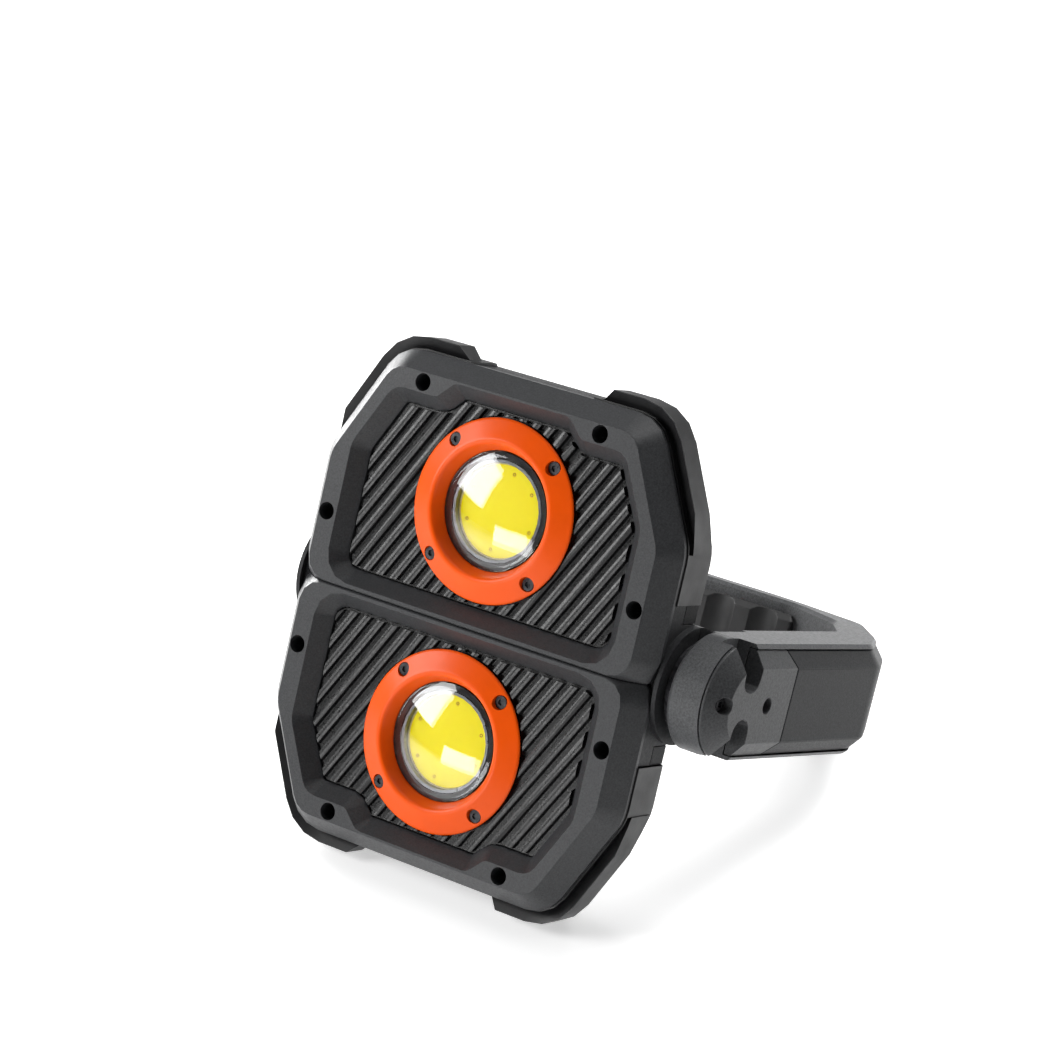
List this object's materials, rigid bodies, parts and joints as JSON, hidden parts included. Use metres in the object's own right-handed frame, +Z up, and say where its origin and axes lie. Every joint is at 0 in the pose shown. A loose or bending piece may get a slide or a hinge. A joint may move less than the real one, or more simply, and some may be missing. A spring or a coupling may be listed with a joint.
{
  "type": "rechargeable work light",
  "caption": "Flat rechargeable work light with lamp heads in orange rings, rubber corner bumpers and a one-armed swing handle that props it up.",
  "frame": {"origin": "centre of the bounding box at its base, on the surface the light stands on", "axes": "+X to the light's left as it faces you, +Y behind the light, +Z up; the lamps look along -Y, leaning back"},
  "size_m": [0.169, 0.197, 0.1675],
  "materials": {
    "body_plastic": "charcoal grey, fine moulded grain",
    "rear_plastic": "darker grey, satin",
    "panel_plastic": "near black, fine grain",
    "orange_plastic": "orange, satin",
    "rubber": "black, dull",
    "clear_lens": "clear, polished",
    "gauge_window": "smoked, polished",
    "silver": "silvered",
    "yellow_glow": "yellow phosphor, satin",
    "black_steel": "black oxide",
    "bare_aluminium": "as extruded",
    "circuit_board": "green solder mask",
    "battery_cell": "blue shrink wrap over a metal can",
    "washer_brass": "plain"
  },
  "bodies": {
    "lamp": {"front_frame_upper": "body_plastic", "heat_panel_upper": "panel_plastic", "lens_ring_upper": "orange_plastic", "lens_upper": "clear_lens", "lens_seal_upper": "rubber", "reflector_upper": "silver", "led_board_upper": "yellow_glow", "ring_screw_upper_1": "black_steel", "ring_screw_upper_2": "black_steel", "ring_screw_upper_3": "black_steel", "ring_screw_upper_4": "black_steel", "frame_screw_upper_1": "black_steel", "frame_screw_upper_2": "black_steel", "frame_screw_upper_3": "black_steel", "frame_screw_upper_4": "black_steel", "front_frame_lower": "body_plastic", "heat_panel_lower": "panel_plastic", "lens_ring_lower": "orange_plastic", "lens_lower": "clear_lens", "lens_seal_lower": "rubber", "reflector_lower": "silver", "led_board_lower": "yellow_glow", "ring_screw_lower_1": "black_steel", "ring_screw_lower_2": "black_steel", "ring_screw_lower_3": "black_steel", "ring_screw_lower_4": "black_steel", "frame_screw_lower_1": "black_steel", "frame_screw_lower_2": "black_steel", "frame_screw_lower_3": "black_steel", "frame_screw_lower_4": "black_steel", "mid_housing": "body_plastic", "rear_housing": "rear_plastic", "heat_sink": "bare_aluminium", "driver_board": "circuit_board", "battery_tray": "panel_plastic", "control_board": "circuit_board", "charge_gauge": "gauge_window", "bumper_upper_right": "rubber", "bumper_upper_left": "rubber", "bumper_lower_right": "rubber", "bumper_lower_left": "rubber", "battery_cell_1": "battery_cell", "battery_cell_2": "battery_cell", "battery_cell_3": "battery_cell", "battery_cell_4": "battery_cell", "pivot_bolt": "black_steel", "friction_washer": "washer_brass", "boss_plug": "rear_plastic"},
    "handle": {"handle_frame": "body_plastic", "handle_cover": "rear_plastic", "handle_grip": "rubber", "hub_cap": "rear_plastic", "handle_end_cap": "rubber", "cap_screw_1": "black_steel", "cap_screw_2": "black_steel"},
    "power_button": {"power_button": "orange_plastic"},
    "port_cover": {"port_cover": "rubber"}
  },
  "joints": [
    {"name": "handle_tilt", "type": "hinge", "parent": "lamp", "child": "handle", "pos_m": [-0.0115, -0.04336, 0.07913], "axis": [1, 0, 0], "range_deg": [-88, 92]},
    {"name": "power_press", "type": "slide", "parent": "lamp", "child": "power_button", "axis": [0, -0.9217, 0.388], "range_m": [0, 0.0012], "stiffness_N_per_m": 600},
    {"name": "port_cover_swing", "type": "hinge", "parent": "lamp", "child": "port_cover", "pos_m": [0.0155, -0.01767, 0.12853], "axis": [-1, 0, 0], "range_deg": [0, 110]}
  ]
}
